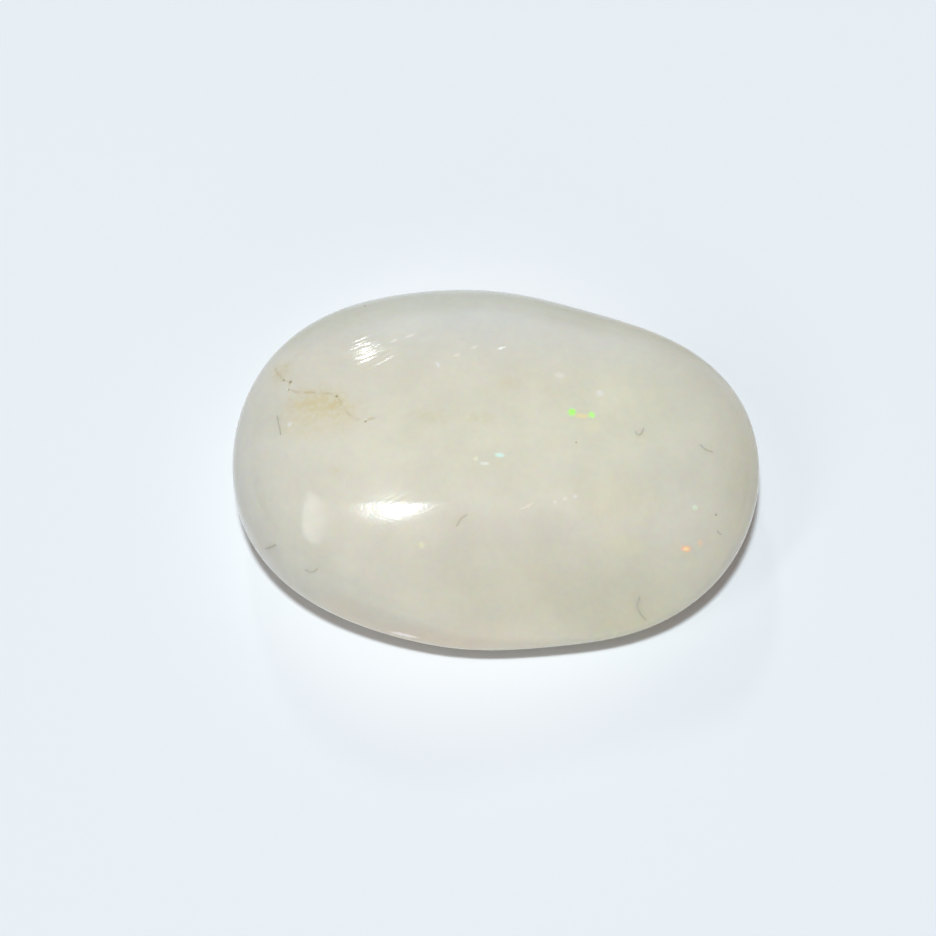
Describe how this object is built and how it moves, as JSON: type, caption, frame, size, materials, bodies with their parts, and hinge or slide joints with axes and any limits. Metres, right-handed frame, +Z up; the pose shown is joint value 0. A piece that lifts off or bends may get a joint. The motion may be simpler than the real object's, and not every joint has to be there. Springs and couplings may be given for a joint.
{
  "type": "opal cabochon specimen",
  "caption": "Polished free-form milky opal cabochon: a low leaning dome with a soft ground flat along one side, rounded shoulders and a flat back.",
  "frame": {"origin": "on the flat back, under the middle of the stone's outline", "axes": "+X along the stone towards its narrower, thinner end; +Y across it, away from the ground flat; +Z up out of the dome"},
  "size_m": [0.0242, 0.0176, 0.0072],
  "materials": {
    "opal": "polished"
  },
  "bodies": {
    "root": {"opal_stone": "opal"}
  },
  "joints": []
}
